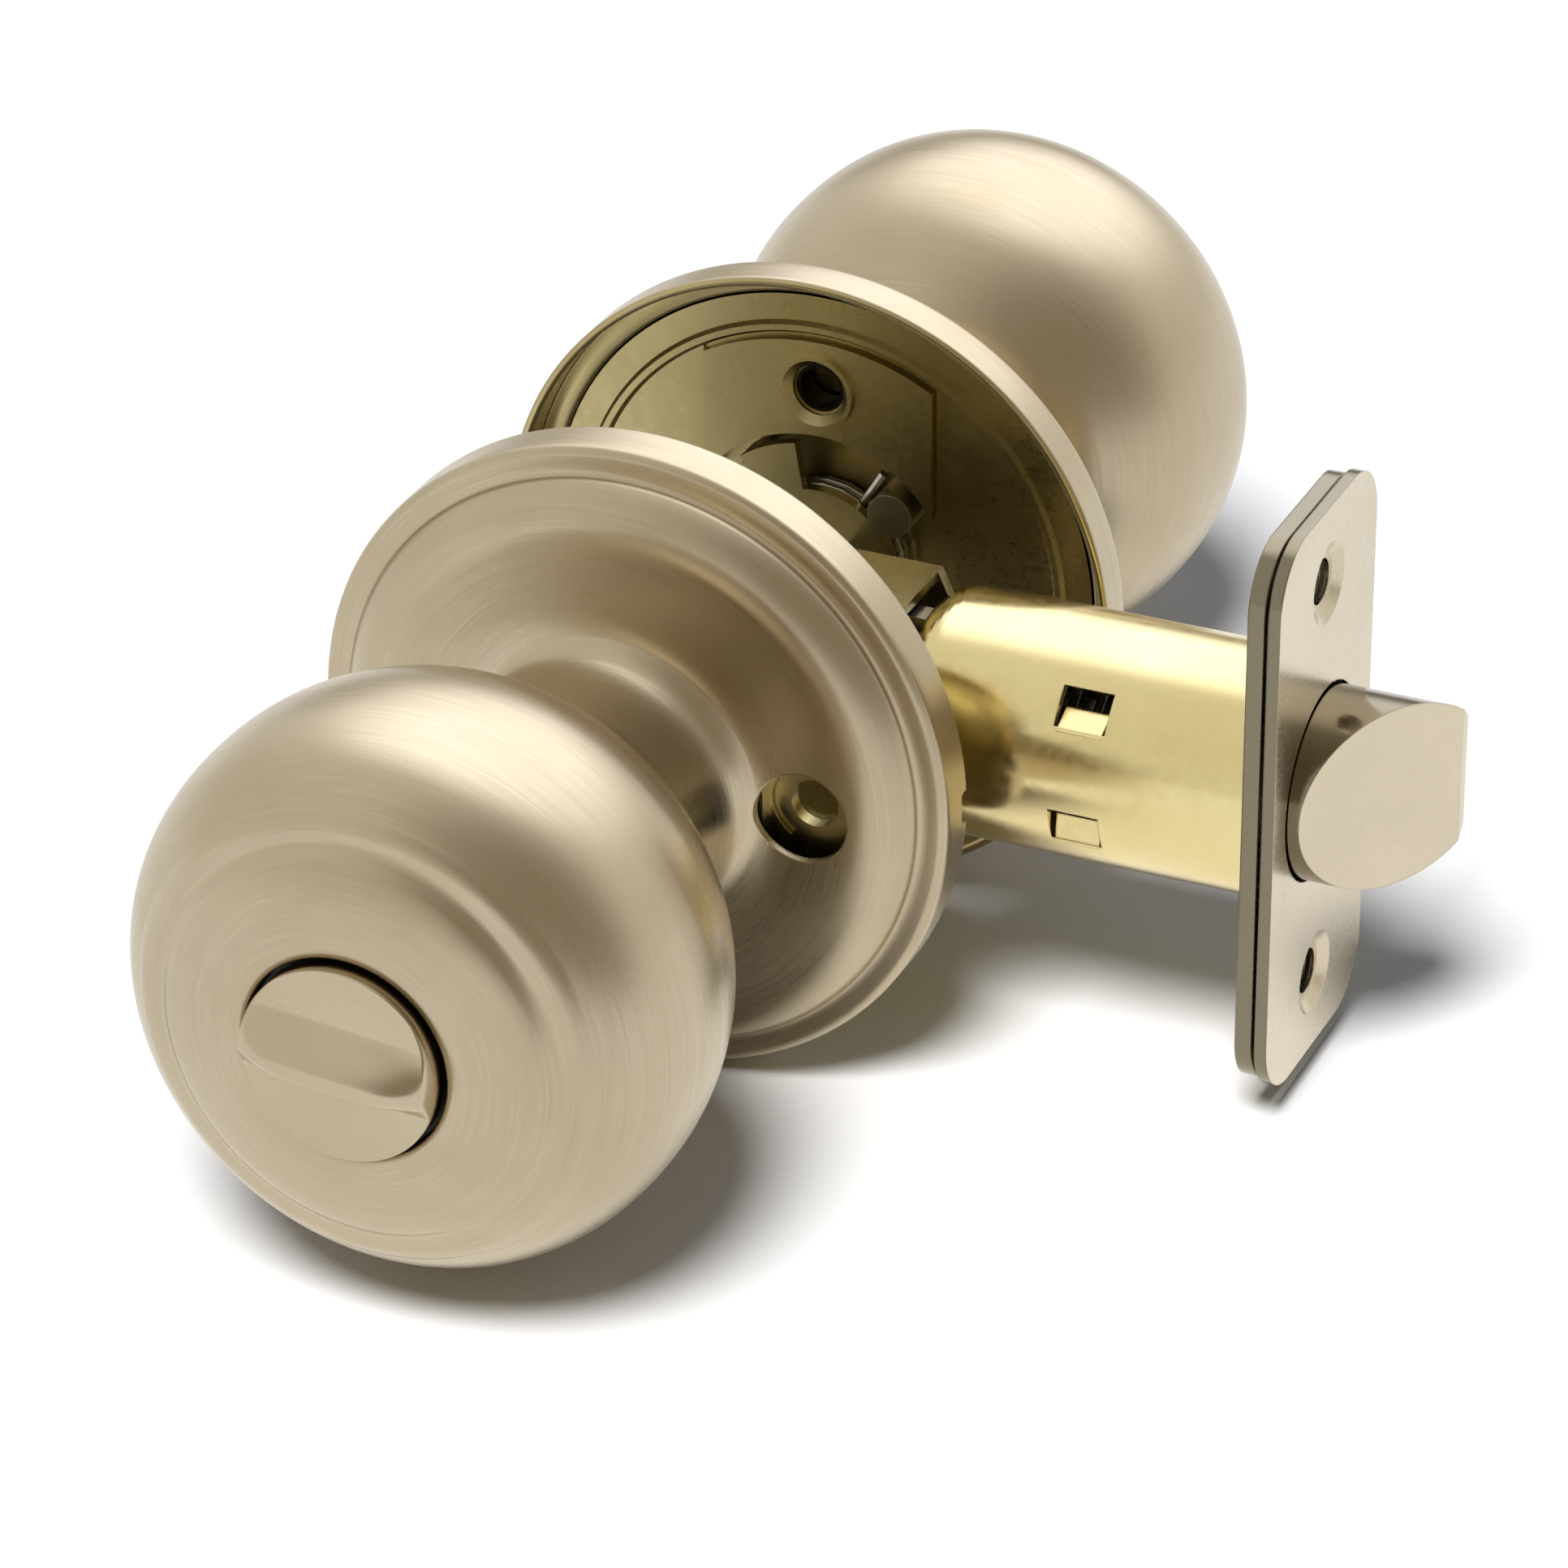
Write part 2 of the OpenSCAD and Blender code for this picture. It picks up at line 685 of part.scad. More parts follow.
module hub_arm(a) {
  rotate([0, -a, 0]) translate([0, 0, -1.1]) cube([hub_arm_r, 2.6, 2.2]);
}
module latch_hub() {
  color("darkkhaki") difference() {
    union() {
      translate([0, side_in - 0.2, 0]) rotate([90, 0, 0])
        cylinder(r = hub_r, h = 2 * side_in - 0.4);
      translate([0, side_in + side_t, 0]) rotate([90, 0, 0])
        cylinder(r = hub_journal_r, h = 2 * (side_in + side_t));
      for (y = [-side_in + 0.4, side_in - 3], a = [-hub_arm_angle, hub_arm_angle])
        translate([0, y, 0]) hub_arm(a);
    }
    translate([0, 10, 0]) rotate([90, 0, 0]) square_bar(spindle_side + 2 * fit, 20);
  }
}
// A side plate of the tail with a flange over the retractor; it narrows into the case
module side_plate() {
  difference() {
    union() {
      translate([side_start, side_in, -side_half_h])
        cube([seat_x - side_start - 0.02, side_t, 2 * side_half_h]);
      translate([0, side_in + side_t, 0]) rotate([90, 0, 0]) linear_extrude(side_t)
        polygon([[flange_x0, 0], [flange_x1 + 1.9, 0], [flange_x1 + 1.9, side_half_h],
          [flange_x1, flange_z], [flange_x0, flange_z]]);
      translate([flange_x0, 0.5 - side_in, flange_z - flange_t])
        cube([flange_x1 - flange_x0, 2 * side_in + side_t - 0.5, flange_t]);
    }
    translate([0, side_in - eps, 0]) rotate([-90, 0, 0])
      cylinder(r = hub_journal_r + fit, h = side_t + 2 * eps);
    for (m = [-1, 1]) translate([side_start + 2.3, side_in - eps, m * 4.5])
      rotate([-90, 0, 0]) cylinder(r = 1.2, h = side_t + 2 * eps);
  }
}
module front_side_plate() {
  color("goldenrod") rotate([180, 0, 0]) side_plate();
}
module rear_side_plate() {
  color("goldenrod") side_plate();
}
module tail_rivets() {
  color("silver") for (m = [-1, 1]) translate([side_start + 2.3, 0, m * 4.5])
    rotate([90, 0, 0]) {
      translate([0, 0, -side_in - side_t - 0.4])
        cylinder(r = 1.18, h = 2 * (side_in + side_t) + 0.8);
      for (z = [-side_in - side_t - 0.8, side_in + side_t + 0.02])
        translate([0, 0, z]) cylinder(r = 1.9, h = 0.78);
    }
}

inside_knob();
inside_shank();
turn_button();
button_bush();
torque_blade();
button_clip();
inside_rose();
inside_neck_bush();
inside_mounting_plate();
inside_spring_housing();
inside_driver();
inside_return_spring();
inside_snap_ring();
inside_stop_peg();
outside_knob();
outside_shank();
outside_rose();
outside_neck_bush();
outside_mounting_plate();
outside_spring_housing();
outside_driver();
outside_return_spring();
outside_snap_ring();
outside_stop_peg();
spindle();
spindle_pin();
lock_cam();
lock_dog();
faceplate();
backing_plate();
latch_case();
latch_bolt();
bolt_guide();
bolt_tail();
retractor();
retractor_pins();
bolt_spring();
spring_seat();
latch_hub();
front_side_plate();
rear_side_plate();
tail_rivets();
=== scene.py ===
import json
import math

import bmesh
import bpy
from mathutils import Matrix, Vector


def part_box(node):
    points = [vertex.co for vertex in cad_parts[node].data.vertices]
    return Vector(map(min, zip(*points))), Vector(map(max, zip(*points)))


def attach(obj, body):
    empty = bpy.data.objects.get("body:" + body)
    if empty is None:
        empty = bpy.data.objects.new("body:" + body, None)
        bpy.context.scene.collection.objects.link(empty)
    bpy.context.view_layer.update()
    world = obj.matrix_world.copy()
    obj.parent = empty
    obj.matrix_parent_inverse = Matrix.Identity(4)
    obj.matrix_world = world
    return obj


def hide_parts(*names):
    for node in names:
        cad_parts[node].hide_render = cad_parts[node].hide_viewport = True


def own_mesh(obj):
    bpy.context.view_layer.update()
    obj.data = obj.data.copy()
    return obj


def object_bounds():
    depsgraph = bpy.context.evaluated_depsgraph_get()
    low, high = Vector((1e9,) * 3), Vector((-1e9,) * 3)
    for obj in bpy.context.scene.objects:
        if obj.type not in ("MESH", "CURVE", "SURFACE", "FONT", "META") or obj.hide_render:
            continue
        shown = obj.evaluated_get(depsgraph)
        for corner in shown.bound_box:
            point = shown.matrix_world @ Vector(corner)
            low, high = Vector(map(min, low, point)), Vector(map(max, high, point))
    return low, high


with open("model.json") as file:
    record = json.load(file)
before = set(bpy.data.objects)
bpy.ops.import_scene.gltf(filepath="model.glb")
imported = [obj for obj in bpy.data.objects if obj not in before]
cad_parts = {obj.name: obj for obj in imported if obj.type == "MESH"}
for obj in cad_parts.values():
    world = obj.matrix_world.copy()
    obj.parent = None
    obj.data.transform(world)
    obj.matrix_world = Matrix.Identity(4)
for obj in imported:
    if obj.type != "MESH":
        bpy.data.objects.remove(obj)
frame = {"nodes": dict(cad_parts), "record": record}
cad_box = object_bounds()
MM = 0.001

# Places on the frame, in millimetres from the door's middle
half_door = -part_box("inside_rose")[1].y / MM
rose_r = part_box("inside_rose")[1].z / MM
neck_end = -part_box("inside_rose")[0].y / MM - half_door
knob_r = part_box("inside_knob")[1].z / MM
knob_front = -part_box("inside_knob")[0].y / MM - half_door
knob_back = -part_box("inside_knob")[1].y / MM - half_door
button_top = -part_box("turn_button")[0].y / MM - half_door
floor_z = cad_box[0].z

# Sizes that the boxes don't give, in millimetres
HEAD_R, HEAD_BACK = 9.4, 61.6
PLUG_R, PLUG_BACK = 8.4, 56
SCREW_OFFSET = 19.05
ACCESS_R = 4.5
COLLAR_BORE_R = 2.6


# Camera -------------------------------------------------------------------------
def facing(azimuth, elevation):
    """The direction from the origin to a viewer, azimuth 0 being the inside of the door."""
    a, e = math.radians(azimuth), math.radians(elevation)
    return Vector((math.sin(a) * math.cos(e), -math.cos(a) * math.cos(e), math.sin(e)))


def add_camera(azimuth, elevation, roll, distance, lens, origin_at):
    """The photograph's own view, in degrees and millimetres. The origin is seen at origin_at,
    right of and above the picture's middle."""
    a, r = math.radians(azimuth), math.radians(roll)
    back = facing(azimuth, elevation)
    right = Vector((math.cos(a), math.sin(a), 0))
    up = back.cross(right)
    right, up = (math.cos(r) * right + math.sin(r) * up,
                 -math.sin(r) * right + math.cos(r) * up)
    place = (distance * back - origin_at[0] * right - origin_at[1] * up) * MM
    camera = bpy.data.objects.new("camera", bpy.data.cameras.new("camera"))
    bpy.context.collection.objects.link(camera)
    camera.matrix_world = Matrix((
        (right.x, up.x, back.x, place.x), (right.y, up.y, back.y, place.y),
        (right.z, up.z, back.z, place.z), (0, 0, 0, 1)))
    camera.data.sensor_width = 36
    camera.data.lens = lens
    camera.data.clip_start, camera.data.clip_end = 0.02, 20
    bpy.context.scene.camera = camera


add_camera(azimuth=24.3, elevation=29.24, roll=-0.34, distance=657.6, lens=157.64,
           origin_at=(-5.239, 12.079))


# Node helpers -------------------------------------------------------------------
class Nodes:
    """A node tree, a new material's unless it is given, with short calls for its nodes."""

    def __init__(self, name, tree=None):
        if tree is None:
            self.material = bpy.data.materials.new(name)
            self.material.use_nodes = True
            tree = self.material.node_tree
            self.shader = tree.nodes["Principled BSDF"]
        self.tree = tree

    def add(self, kind, **inputs):
        node = self.tree.nodes.new(kind)
        for key, value in inputs.items():
            self.put(node.inputs[key.replace("_", " ")], value)
        return node

    def put(self, socket, value):
        if isinstance(value, bpy.types.NodeSocket):
            self.tree.links.new(value, socket)
        else:
            socket.default_value = value

    def math(self, operation, a, b=0.0):
        node = self.tree.nodes.new("ShaderNodeMath")
        node.operation = operation
        self.put(node.inputs[0], a)
        self.put(node.inputs[1], b)
        return node.outputs[0]

    def length(self, a, b):
        squares = [self.math("MULTIPLY", v, v) for v in (a, b)]
        return self.math("SQRT", self.math("ADD", *squares))

    def noise(self, vector, scale, detail, w=None):
        node = self.add("ShaderNodeTexNoise", Vector=vector, Scale=scale, Detail=detail)
        if w is not None:
            node.noise_dimensions = "4D"
            self.put(node.inputs["W"], w)
        return node.outputs["Fac"]

    def ramp(self, value, low, high, to_low, to_high):
        node = self.add("ShaderNodeMapRange", Value=value, From_Min=low, From_Max=high,
                        To_Min=to_low, To_Max=to_high)
        return node.outputs["Result"]

    def mix(self, factor, a, b):
        node = self.tree.nodes.new("ShaderNodeMix")
        node.data_type = "RGBA"
        self.put(node.inputs["Factor"], factor)
        for socket, value in zip([s for s in node.inputs if s.type == "RGBA"], (a, b)):
            self.put(socket, value if isinstance(value, bpy.types.NodeSocket) else (*value, 1))
        return next(s for s in node.outputs if s.type == "RGBA")

    def place(self):
        return self.add("ShaderNodeTexCoord").outputs["Object"]

    def bump(self, height, strength, distance, edge=0.0):
        node = self.add("ShaderNodeBump", Height=height, Strength=strength, Distance=distance)
        if edge:
            soft = self.add("ShaderNodeBevel", Radius=edge)
            soft.samples = 4
            self.put(node.inputs["Normal"], soft.outputs[0])
        return node.outputs[0]


def turned_lines(n):
    """Fine lathe lines about Y: a noise drawn out round the axis, with no seam."""
    x, y, z = n.add("ShaderNodeSeparateXYZ", Vector=n.place()).outputs
    r = n.math("MAXIMUM", n.length(x, z), 1e-5)
    lines_per_metre, breaks_per_turn = 3600.0, 2.2
    vector = n.add("ShaderNodeCombineXYZ", X=n.math("MULTIPLY", r, lines_per_metre),
                   Y=n.math("MULTIPLY", n.math("DIVIDE", x, r), breaks_per_turn),
                   Z=n.math("MULTIPLY", n.math("DIVIDE", z, r), breaks_per_turn)).outputs[0]
    return n.noise(vector, 1.0, 1.0, w=n.math("MULTIPLY", y, lines_per_metre))


def satin_metal(name, colour, shade, rough, anisotropy=0.0, lines=True, edge=0.0,
                grain=2600.0, polished_rim_shade=None, paint_bore_shade=False):
    """Metal with turned or random grain, slightly uneven in colour and polish. The faces
    across the local X axis can keep the finish while the others, the rim, are polished and painted
    darker as shade.
    The two screw bores above and below the spindle can have painted shade, near black, since their
    deep insides get no light."""
    n = Nodes(name)
    place = n.place()
    cloud = n.noise(place, 60.0, 4.0)
    grit = n.noise(place, grain, 2.0)
    fine = turned_lines(n) if lines else grit
    base = n.mix(n.ramp(cloud, 0.35, 0.7, 0.0, 1.0), colour, shade)
    base = n.mix(n.ramp(fine, 0.3, 0.75, 0.0, 0.12 if lines else 0.04), base,
                 tuple(c * 0.5 for c in shade))
    wear = n.math("ADD", n.ramp(fine, 0.3, 0.7, rough - 0.04, rough + 0.04),
                  n.ramp(cloud, 0.3, 0.7, -0.02, 0.03))
    # The rim is polished, and its colour is painted shade: the side faces are painted darker.
    if polished_rim_shade is not None:
        across = n.add("ShaderNodeSeparateXYZ",
                       Vector=n.add("ShaderNodeTexCoord").outputs["Normal"]).outputs["X"]
        side = n.ramp(n.math("ABSOLUTE", across), 0.75, 0.55, 0.0, 1.0)
        base = n.mix(side, base, polished_rim_shade)
        wear = n.math("MULTIPLY", wear, n.ramp(side, 0.0, 1.0, 1.0, 0.5))
    # Painted shade: the insides of the two screw bores are painted near black where they lie in
    # shade.
    if paint_bore_shade:
        x, _, z = n.add("ShaderNodeSeparateXYZ", Vector=place).outputs
        z = n.math("SUBTRACT", n.math("ABSOLUTE", z), SCREW_OFFSET * MM)
        bore_r = COLLAR_BORE_R * MM
        base = n.mix(n.ramp(n.length(x, z), bore_r - 0.1 * MM, bore_r, 1.0, 0.0), base, PAINTED_BORE_SHADE)
    n.put(n.shader.inputs["Base Color"], base)
    n.shader.inputs["Metallic"].default_value = 1.0
    n.put(n.shader.inputs["Roughness"], wear)
    height = n.math("ADD", n.math("MULTIPLY", fine, 0.7), n.math("MULTIPLY", grit, 0.3))
    n.put(n.shader.inputs["Normal"], n.bump(height, 0.2 if lines else 0.05, 0.00002, edge))
    if anisotropy:
        n.shader.inputs["Anisotropic"].default_value = anisotropy
        tangent = n.add("ShaderNodeTangent")
        tangent.direction_type, tangent.axis = "RADIAL", "Y"
        n.put(n.shader.inputs["Tangent"], tangent.outputs[0])
    return n.material


def moulded(name, colour, rough):
    """Plastic with a fine grain, slightly cloudy in colour."""
    n = Nodes(name)
    place = n.place()
    grain = n.noise(place, 3000.0, 3.0)
    cloud = n.noise(place, 150.0, 3.0)
    n.put(n.shader.inputs["Base Color"],
          n.mix(n.ramp(cloud, 0.3, 0.7, 0.0, 1.0), colour, tuple(c * 0.7 for c in colour)))
    n.put(n.shader.inputs["Roughness"], n.ramp(grain, 0.3, 0.7, rough - 0.08, rough + 0.08))
    n.put(n.shader.inputs["Normal"], n.bump(grain, 0.3, 0.00005, 0.00015))
    return n.material


NICKEL, NICKEL_SHADE = (0.53, 0.45, 0.315), (0.48, 0.40, 0.27)
BRASS, BRASS_SHADE = (0.52, 0.44, 0.23), (0.43, 0.36, 0.17)
# Painted shade for the deep, unlit screw bores, not a colour of the metal.
PAINTED_BORE_SHADE = (0.02, 0.017, 0.01)
satin_nickel = satin_metal("satin_nickel", NICKEL, NICKEL_SHADE, 0.30, 0.55, edge=0.00025)
button_nickel = satin_metal("button_nickel", NICKEL, NICKEL_SHADE, 0.22, lines=False)
# The faceplate's side faces are polished and painted darker as shade.
satin_plate = satin_metal("satin_plate", (0.66, 0.57, 0.42), (0.60, 0.52, 0.38), 0.24,
                          lines=False, edge=0.00025, polished_rim_shade=(0.22, 0.19, 0.13))
brass_plated = satin_metal("brass_plated", BRASS, BRASS_SHADE, 0.30, lines=False, grain=1500.0)
# The outside mounting plate's brass, with painted shade near black in its two screw bores.
collar_brass = satin_metal("collar_brass", BRASS, BRASS_SHADE, 0.30, lines=False, grain=1500.0,
                           paint_bore_shade=True)
rose_inside = satin_metal("rose_inside", (0.52, 0.43, 0.22), (0.42, 0.34, 0.16), 0.28, 0.4)
bright_brass = satin_metal("bright_brass", (0.80, 0.67, 0.36), (0.72, 0.59, 0.28), 0.17,
                           lines=False, edge=0.0002, grain=900.0)
cast_zinc = satin_metal("cast_zinc", (0.40, 0.35, 0.22), (0.30, 0.26, 0.15), 0.38,
                        lines=False, edge=0.00015, grain=1200.0)
plain_steel = satin_metal("plain_steel", (0.55, 0.52, 0.45), (0.45, 0.42, 0.36), 0.28,
                          lines=False, edge=0.00012, grain=1800.0)
black_nylon = moulded("black_nylon", (0.012, 0.011, 0.010), 0.45)
white_nylon = moulded("white_nylon", (0.70, 0.67, 0.58), 0.45)
BY_SLOT = {"satin_nickel": satin_nickel, "satin_plate": satin_plate,
           "brass_plated": brass_plated, "polished_brass": bright_brass,
           "cast_zinc": cast_zinc, "plain_steel": plain_steel,
           "black_nylon": black_nylon, "white_nylon": white_nylon}
for part in frame["record"]["subparts"]:
    node = frame["nodes"][part["node"]]
    node.data.materials.clear()
    node.data.materials.append(BY_SLOT[part["material_slot"]])
frame["nodes"]["outside_mounting_plate"].data.materials[0] = collar_brass


# Outlines: lists of (radius, distance from the door), in millimetres ----------------
def bezier(a, b, c, d, n):
    """A curve from a to d in n steps, pulled towards b and c."""
    points = []
    for i in range(n + 1):
        t = i / n
        s = 1 - t
        points.append(tuple(s ** 3 * a[k] + 3 * s * s * t * b[k] + 3 * s * t * t * c[k]
                            + t ** 3 * d[k] for k in (0, 1)))
    return points


def arc(centre, r, a0, a1, n):
    angles = [math.radians(a0 + (a1 - a0) * i / n) for i in range(n + 1)]
    return [(centre[0] + r * math.cos(a), centre[1] + r * math.sin(a)) for a in angles]


def rose_path():
    """From the rose's lip on the door over its rim, dish and neck to the neck's end."""
    r, wall, neck = rose_r, 4.8, 12.2
    return (
        [(r, 0)] + [(r, wall * k / 8) for k in range(1, 6)]
        + arc((r - 0.9, wall - 0.9), 0.9, 0, 92, 8)
        + bezier((r - 1.6, wall), (r - 2.2, wall), (r - 2.6, wall + 0.05), (r - 2.75, wall + 0.2), 6)
        + bezier((r - 2.85, wall + 0.6), (r - 4, wall + 2.8),
                 (r - 6, wall + 3.3), (r - 7.6, wall + 3.4), 24)
        + bezier((r - 8.2, wall + 3.42), (19, wall + 3.5), (16.7, wall + 3.3),
                 (neck + 2.6, wall + 4.1), 24)
        + bezier((neck + 2.4, wall + 4.25), (neck + 0.8, wall + 5.3),
                 (neck, wall + 8.2), (neck, neck_end - 6.8), 24)
        + bezier((neck, neck_end - 6.5), (neck + 0.1, neck_end - 3),
                 (neck + 1.1, neck_end - 2.4), (neck + 1.1, neck_end - 0.9), 16)
        + arc((neck + 0.4, neck_end - 0.7), 0.7, 0, 90, 6))


def knob_path(hole_r):
    """From the knob's back over its widest place and its ring into the hole in its front."""
    wide = 45.7
    return (
        [(10.1, knob_back)]
        + bezier((12.6, knob_back), (20.5, knob_back + 1.6),
                 (knob_r, wide - 10.2), (knob_r, wide), 48)
        + bezier((knob_r, wide + 0.7), (knob_r, wide + 6.4),
                 (25.3, wide + 10.6), (22.4, 58.5), 40)
        + bezier((22.2, 58.75), (21.8, 59.35), (21.2, 59.65), (20.6, 59.8), 8)
        + bezier((20.3, 59.85), (19.4, 59.95), (19.0, 60.3), (18.6, 60.75), 8)
        + bezier((18.4, 60.95), (17.8, 61.4), (16, 62.2), (max(12, hole_r + 1.6), knob_front), 20)
        + bezier((hole_r + 1.2, knob_front), (hole_r + 0.6, knob_front),
                 (hole_r, knob_front - 0.1), (hole_r, knob_front - 0.7), 8))


def offset(path, t):
    """The same outline moved inwards by t."""
    out = []
    for i, p in enumerate(path):
        a, b = path[max(i - 1, 0)], path[min(i + 1, len(path) - 1)]
        d = math.hypot(b[0] - a[0], b[1] - a[1])
        out.append((p[0] - t * (b[1] - a[1]) / d, p[1] + t * (b[0] - a[0]) / d))
    return out


# Mesh pieces ----------------------------------------------------------------------
def local(side, x, y, z):
    """A point z away from the door's face, x and y being the frame's X and Z."""
    return Vector((x, side * (half_door + z), y)) * MM


def circle(bm, side, x, y, r, z, steps):
    """A ring of vertices about the axis of the spindle, moved by x and y."""
    angles = [math.tau * k / steps for k in range(steps)]
    return [bm.verts.new(local(side, x + r * math.cos(a), y + r * math.sin(a), z))
            for a in angles]


def band(bm, a, b):
    """The faces between two rings of vertices."""
    n = len(a)
    return [bm.faces.new((a[k], a[(k + 1) % n], b[(k + 1) % n], b[k])) for k in range(n)]


def cap_and_band(bm, *rings):
    """A closed solid along some rings of vertices."""
    for a, b in zip(rings, rings[1:]):
        band(bm, a, b)
    bm.faces.new(rings[0][::-1])
    bm.faces.new(rings[-1])


def closed_mesh(bm, name):
    bmesh.ops.recalc_face_normals(bm, faces=bm.faces)
    mesh = bpy.data.meshes.new(name)
    bm.to_mesh(mesh)
    bm.free()
    return mesh


def add_object(name, data):
    obj = bpy.data.objects.new(name, data)
    bpy.context.collection.objects.link(obj)
    return obj


def piece(name, mesh, body, slot, materials, *nodes):
    """A skin that rides on a body and takes the place of CAD nodes."""
    obj = add_object(name, mesh)
    for m in materials:
        mesh.materials.append(m)
    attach(obj, body)
    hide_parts(*nodes)
    return obj


def spun_shell(name, side, path, thickness, steps=288, inner_slot=0):
    """A closed sheet turned about the spindle along an outline."""
    bm = bmesh.new()
    rings = [circle(bm, side, 0, 0, r, z, steps)
             for r, z in path + offset(path, thickness)[::-1]]
    for i, ring in enumerate(rings):
        for face in band(bm, ring, rings[(i + 1) % len(rings)]):
            face.smooth = True
            face.material_index = inner_slot if i >= len(path) - 1 else 0
    return closed_mesh(bm, name)


def cut(mesh, cutters):
    """The mesh less some closed meshes, with its edges left sharp where they cut."""
    body = add_object("cut", mesh)
    others = [add_object("cutter", c) for c in cutters]
    for other in others:
        m = body.modifiers.new("cut", "BOOLEAN")
        m.operation, m.solver, m.object = "DIFFERENCE", "EXACT", other
    graph = bpy.context.evaluated_depsgraph_get()
    out = bpy.data.meshes.new_from_object(body.evaluated_get(graph))
    for o in [body, *others]:
        bpy.data.objects.remove(o)
    return out


def cylinder_mesh(side, x, y, r, z0, z1, steps=96):
    """A solid cylinder that stands on the door, from z0 to z1."""
    bm = bmesh.new()
    low, high = (circle(bm, side, x, y, r, z, steps) for z in (z0, z1))
    cap_and_band(bm, low, high)
    return closed_mesh(bm, "cutter")


def notch_mesh():
    """The pry notch on the inside rose's lip, a slot with round ends."""
    bm = bmesh.new()
    half, deep, corner, past = 1.7, 1.1, 0.5, 3
    points = [(-half, -1), (half, -1)]
    points += arc((half - corner, deep - corner), corner, 0, 90, 12)
    points += [(-y, z) for y, z in points[:1:-1]]
    cap_and_band(bm, *([bm.verts.new(local(-1, x, y, z)) for y, z in points]
                       for x in (rose_r - past, rose_r + past)))
    return closed_mesh(bm, "notch")


def sharpen(mesh, angle):
    """Smooth shading with sharp edges over an angle."""
    for p in mesh.polygons:
        p.use_smooth = True
    mesh.set_sharp_from_angle(angle=math.radians(angle))


for side, where, hole in ((-1, "inside", 9.8), (1, "outside", 1.6)):
    mesh = spun_shell(f"{where}_knob_skin", side, knob_path(hole), 0.9)
    piece(f"{where}_knob_skin", mesh, "knobs", "satin_nickel", [satin_nickel], f"{where}_knob")
    mesh = spun_shell(f"{where}_rose_skin", side, rose_path(), 0.8, inner_slot=1)
    if side < 0:
        holes = [cylinder_mesh(side, m * SCREW_OFFSET, 0, ACCESS_R, 5, 12) for m in (-1, 1)]
        mesh = cut(mesh, [*holes, notch_mesh()])
        sharpen(mesh, 40)
    piece(f"{where}_rose_skin", mesh, "inside_trim" if side < 0 else "chassis",
          "satin_nickel", [satin_nickel, rose_inside], f"{where}_rose")


# The turn button: a headed plug with a grip across it -------------------------------------
def button_height(x, y):
    """The head's height over the knob's front. Along u the grip falls off at its ends; across
    it, v, it is hollow above and steep below. The lowest of the grip, the dome over it and the
    head's wall counts, with the seams between them rounded."""
    turn = math.radians(-5)
    u = x * math.cos(turn) + y * math.sin(turn)
    v = -x * math.sin(turn) + y * math.cos(turn)
    polished_rim_shade, rise = 1.1, 1.386
    foot, span = (6.3, 3.9) if v > 0 else (2.6, 1.9)
    crest, fall, crest_half, half_flat = 2.35, 1.85, 8.6, 0.5
    t = min(max((abs(v) - half_flat) / span, 0), 1)
    grip = (polished_rim_shade + rise * max(1 - abs(v) / foot, 0)
            + (crest - fall * (abs(u) / crest_half) ** 3) * (1 - t * t * (3 - 2 * t)))
    dome = button_top - knob_front - 0.006 * (x * x + y * y)
    wall = polished_rim_shade + (HEAD_R - math.hypot(x, y)) * 3.5
    rounding = 0.12
    return -rounding * math.log(sum(math.exp(-h / rounding) for h in (grip, dome, wall)))


def button_mesh(rings=64, steps=216):
    bm = bmesh.new()
    angles = [math.tau * k / steps for k in range(steps)]
    top = bm.verts.new(local(-1, 0, 0, knob_front + button_height(0, 0)))
    layers = []
    for i in range(1, rings + 1):
        r = HEAD_R * math.sin(math.pi / 2 * i / rings)
        layers.append([bm.verts.new(local(-1, x, y, knob_front + button_height(x, y)))
                       for x, y in ((r * math.cos(a), r * math.sin(a)) for a in angles)])
    for r, z in ((HEAD_R, knob_front), (HEAD_R, HEAD_BACK), (PLUG_R, HEAD_BACK),
                 (PLUG_R, PLUG_BACK + 3), (PLUG_R, PLUG_BACK)):
        layers.append(circle(bm, -1, 0, 0, r, z, steps))
    for k in range(steps):
        bm.faces.new((top, layers[0][k], layers[0][(k + 1) % steps]))
    for a, b in zip(layers, layers[1:]):
        band(bm, b, a)
    bm.faces.new(layers[-1])
    mesh = closed_mesh(bm, "turn_button_skin")
    sharpen(mesh, 50)
    return mesh


piece("turn_button_skin", button_mesh(), "button", "satin_nickel", [button_nickel], "turn_button")


# The bolt's spring, one fixed coil here; in the lock it shortens as the knob draws the bolt in
# ---------
def spring_mesh(low, high, wire=0.45, turns=6, steps=40, sides=12):
    """A coil along X that fills the box from low to high, the wire's two ends closed."""
    r = high.z / MM - wire
    start, end = low.x / MM + wire, high.x / MM - wire
    along = Vector((1, 0, 0))
    bm = bmesh.new()
    rings = []
    for i in range(turns * steps + 1):
        a = math.tau * i / steps
        out = Vector((0, math.cos(a), math.sin(a)))
        centre = (start + (end - start) * i / (turns * steps)) * along + r * out
        rings.append([bm.verts.new((centre + wire * (math.cos(b) * out + math.sin(b) * along)) * MM)
                      for b in (math.tau * k / sides for k in range(sides))])
    cap_and_band(bm, *rings)
    mesh = closed_mesh(bm, "bolt_spring_skin")
    sharpen(mesh, 50)
    return mesh


low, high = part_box("bolt_spring")
spring = piece("bolt_spring_skin", spring_mesh(low, high), "chassis", "plain_steel",
               [plain_steel], "bolt_spring")
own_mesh(spring)


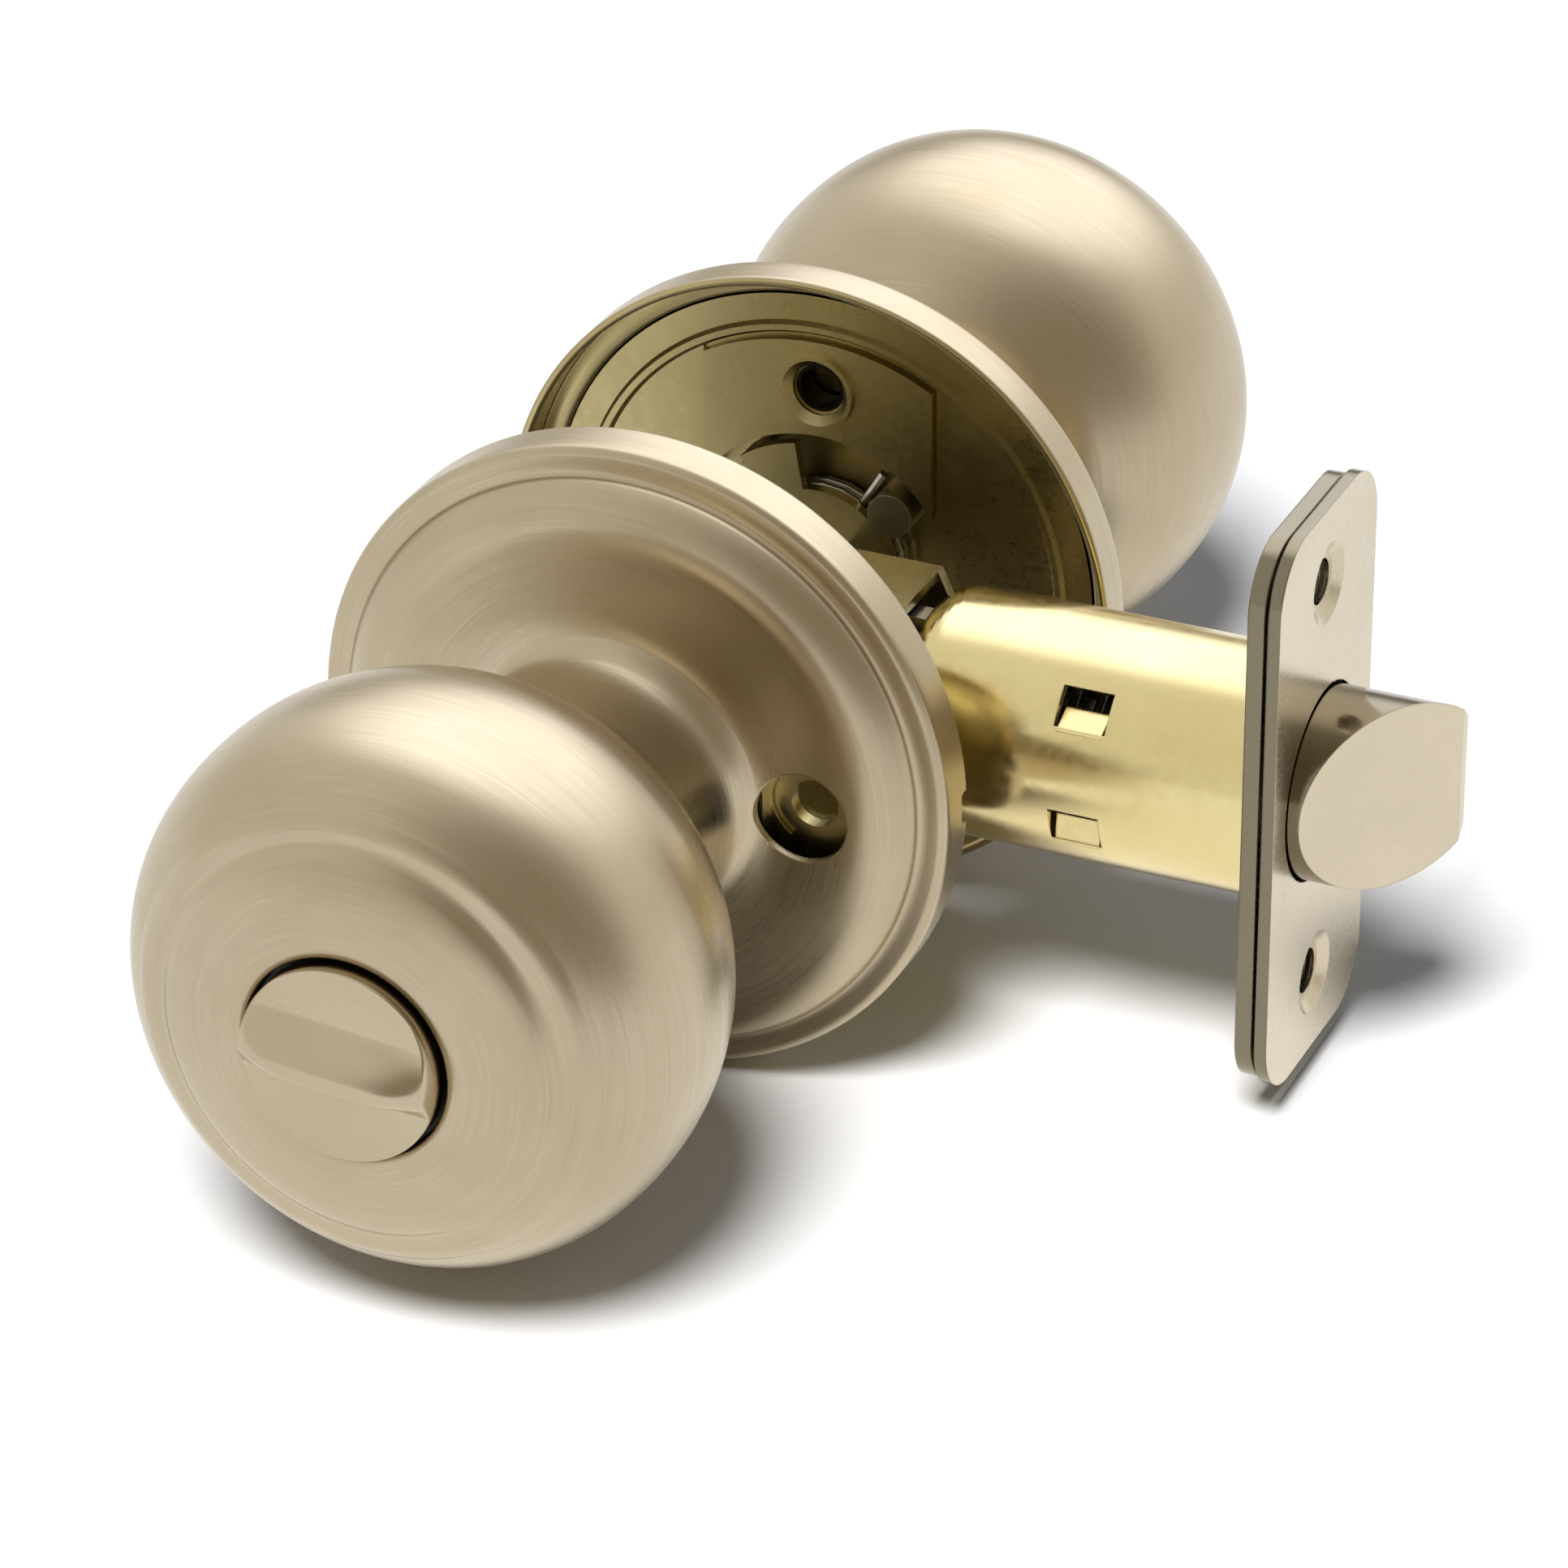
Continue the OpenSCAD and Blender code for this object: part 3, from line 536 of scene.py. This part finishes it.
# Floor and light --------------------------------------------------------------------
def add_floor(size=6.0, steps=24):
    bm = bmesh.new()
    grid = [[bm.verts.new((size * (i / steps - 0.5), size * (j / steps - 0.5), floor_z))
             for j in range(steps + 1)] for i in range(steps + 1)]
    for i in range(steps):
        for j in range(steps):
            bm.faces.new((grid[i][j], grid[i + 1][j], grid[i + 1][j + 1], grid[i][j + 1]))
    mesh = bpy.data.meshes.new("floor")
    bm.to_mesh(mesh)
    bm.free()
    n = Nodes("floor")
    cloud = n.noise(n.place(), 3.0, 2.0)
    n.put(n.shader.inputs["Base Color"],
          n.mix(n.ramp(cloud, 0.3, 0.7, 0, 1), (0.93, 0.93, 0.93), (0.9, 0.9, 0.9)))
    n.shader.inputs["Roughness"].default_value = 0.9
    n.shader.inputs["Specular IOR Level"].default_value = 0.1
    mesh.materials.append(n.material)
    add_object("floor", mesh)


def add_light(name, azimuth, elevation, spread, strength, colour=(1, 1, 1)):
    """An even, far-off lamp. The metal doesn't mirror it, so it shows on the floor alone."""
    data = bpy.data.lights.new(name, "SUN")
    data.energy, data.angle, data.color = strength, math.radians(spread), colour
    light = add_object(name, data)
    light.visible_glossy = False
    light.location = facing(azimuth, elevation)
    light.rotation_mode = "QUATERNION"
    light.rotation_quaternion = (-light.location).to_track_quat("-Z", "Y")


ROOM, DIM, HORIZON = (0.90, 0.89, 0.86), (0.36, 0.32, 0.25), (0.45, 0.41, 0.33)
SOFT_BOX = (2.25, 2.3, 2.5)


def add_studio():
    """What the metal mirrors: a pale room with a dim side on the right and a dull patch low
    behind, under a wide soft box above and behind. The floor takes its light from the lamps."""
    world = bpy.data.worlds.new("studio")
    bpy.context.scene.world = world
    world.cycles_visibility.diffuse = False
    world.use_nodes = True
    n = Nodes("studio", world.node_tree)
    way = n.add("ShaderNodeTexCoord").outputs["Generated"]

    def patch(azimuth, elevation, full, faded):
        """1 within full degrees of a direction and 0 beyond faded degrees."""
        dot = n.tree.nodes.new("ShaderNodeVectorMath")
        dot.operation = "DOT_PRODUCT"
        n.put(dot.inputs[0], way)
        dot.inputs[1].default_value = facing(azimuth, elevation)
        fade = n.add("ShaderNodeMapRange", Value=dot.outputs["Value"],
                     From_Min=math.cos(math.radians(faded)),
                     From_Max=math.cos(math.radians(full)))
        fade.interpolation_type = "SMOOTHSTEP"
        return fade.outputs["Result"]

    colour = n.mix(patch(50, 22, 26, 66), ROOM, DIM)
    colour = n.mix(patch(204, 6, 8, 26), colour, HORIZON)
    colour = n.mix(patch(183, 51, 21, 45), colour, SOFT_BOX)
    background = world.node_tree.nodes["Background"]
    n.put(background.inputs["Color"], colour)
    background.inputs["Strength"].default_value = 1.0


add_floor()
add_studio()
add_light("key", azimuth=8, elevation=56, spread=20, strength=4.0)
add_light("fill", azimuth=180, elevation=80, spread=110, strength=0.35, colour=(0.8, 0.9, 1.1))
scene = bpy.context.scene
scene.view_settings.view_transform = "Standard"
scene.view_settings.look = "None"
scene.view_settings.exposure = 0.0
